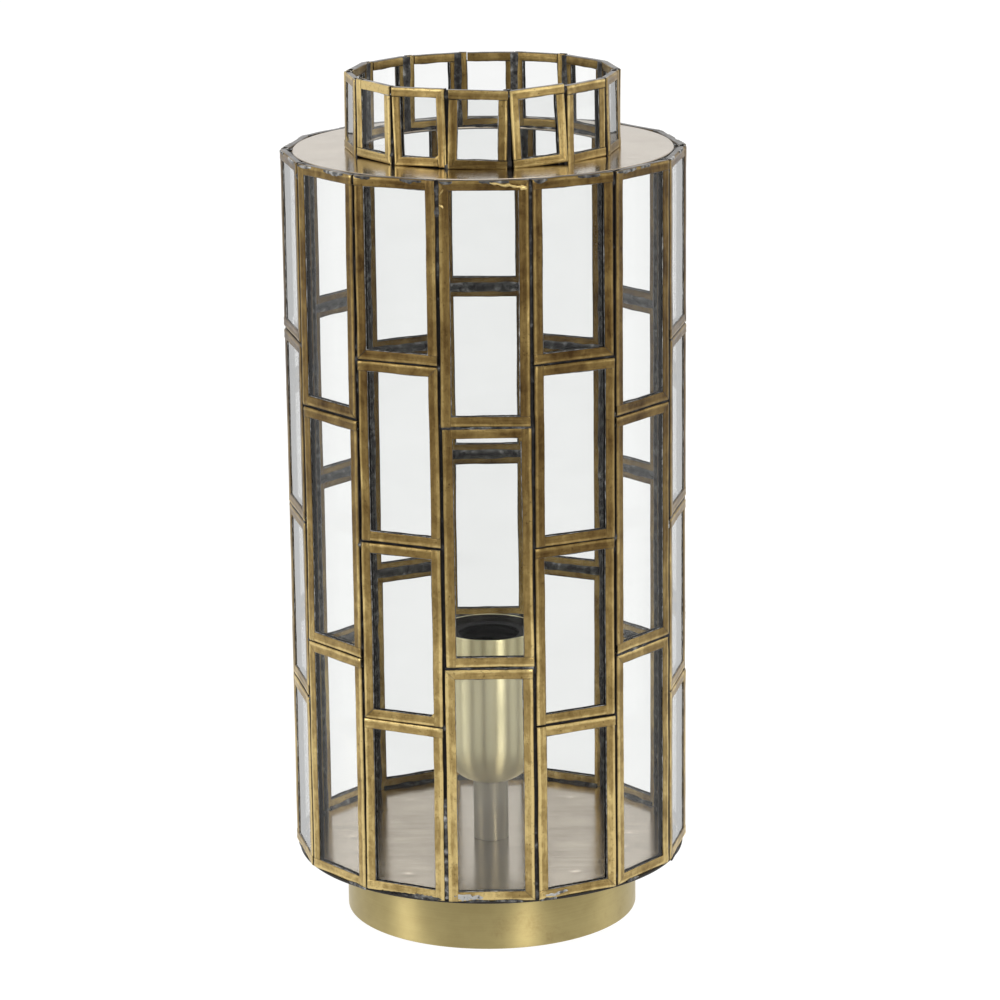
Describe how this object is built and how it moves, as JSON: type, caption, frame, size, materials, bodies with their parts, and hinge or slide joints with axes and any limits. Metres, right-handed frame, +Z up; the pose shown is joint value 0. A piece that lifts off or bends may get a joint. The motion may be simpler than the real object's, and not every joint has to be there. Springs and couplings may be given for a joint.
{
  "type": "leaded glass lantern table lamp",
  "caption": "Cylindrical table lamp of brass-framed clear panes in staggered columns, with a glazed collar, round brass foot and lampholder cup inside.",
  "frame": {"origin": "centre of the foot's underside, on the lamp's axis", "axes": "+Z up along the lamp's axis, -Y towards the front, +X to the viewer's right"},
  "size_m": [0.1796, 0.1766, 0.3861],
  "materials": {
    "came_brass": "antique brass, folded sheet, dark in the grooves and bright on the edges",
    "clear_glass": "clear float glass, slightly grey",
    "solder": "soft solder, black patina outside and grey inside, lumpy",
    "plate_brass": "brushed brass sheet, pinkish and glossy",
    "foot_brass": "satin brass, brushed round",
    "stem_brass": "satin olive brass",
    "cup_brass": "satin pale brass, spun",
    "zinc_steel": "zinc plated",
    "holder_plastic": "black moulded thermoplastic",
    "contact_metal": "spring brass strip",
    "fibreboard": "brown hardboard",
    "felt": "black wool felt",
    "grommet_rubber": "black rubber"
  },
  "bodies": {
    "lamp": {"base_board": "fibreboard", "base_ring": "foot_brass", "base_ring_solder": "solder", "cap_lock_screw": "zinc_steel", "centre_terminal": "contact_metal", "collar_base_solder": "solder", "collar_frames": "came_brass", "collar_glass": "clear_glass", "collar_seams": "solder", "column_01_frames": "came_brass", "column_01_glass": "clear_glass", "column_02_frames": "came_brass", "column_02_glass": "clear_glass", "column_03_frames": "came_brass", "column_03_glass": "clear_glass", "column_04_frames": "came_brass", "column_04_glass": "clear_glass", "column_05_frames": "came_brass", "column_05_glass": "clear_glass", "column_06_frames": "came_brass", "column_06_glass": "clear_glass", "column_07_frames": "came_brass", "column_07_glass": "clear_glass", "column_08_frames": "came_brass", "column_08_glass": "clear_glass", "column_09_frames": "came_brass", "column_09_glass": "clear_glass", "column_10_frames": "came_brass", "column_10_glass": "clear_glass", "column_11_frames": "came_brass", "column_11_glass": "clear_glass", "column_12_frames": "came_brass", "column_12_glass": "clear_glass", "column_13_frames": "came_brass", "column_13_glass": "clear_glass", "column_14_frames": "came_brass", "column_14_glass": "clear_glass", "cord_grommet": "grommet_rubber", "corner_seams": "solder", "cup_lock_washer": "zinc_steel", "cup_nut": "zinc_steel", "felt_pad": "felt", "floor_plate": "plate_brass", "floor_solder": "solder", "holder_cap": "holder_plastic", "holder_cup": "cup_brass", "holder_insert": "holder_plastic", "holder_shell": "holder_plastic", "pane_joint_solder": "solder", "plate_nut": "zinc_steel", "plate_washer": "zinc_steel", "side_terminal": "contact_metal", "stem_tube": "stem_brass", "terminal_screws": "zinc_steel", "threaded_tube": "zinc_steel", "top_plate": "plate_brass", "top_plate_solder": "solder"},
    "centre_leaf": {"centre_contact": "contact_metal"},
    "side_leaf": {"side_contact": "contact_metal"}
  },
  "joints": [
    {"name": "centre_contact_flex", "type": "hinge", "parent": "lamp", "child": "centre_leaf", "pos_m": [-0.00635, 0, 0.10395], "axis": [0, 1, 0], "range_deg": [0, 12.5], "stiffness_Nm_per_rad": 0.2},
    {"name": "side_contact_flex", "type": "hinge", "parent": "lamp", "child": "side_leaf", "pos_m": [0.0124, 0, 0.10475], "axis": [0, 1, 0], "range_deg": [0, 12], "stiffness_Nm_per_rad": 0.1}
  ]
}
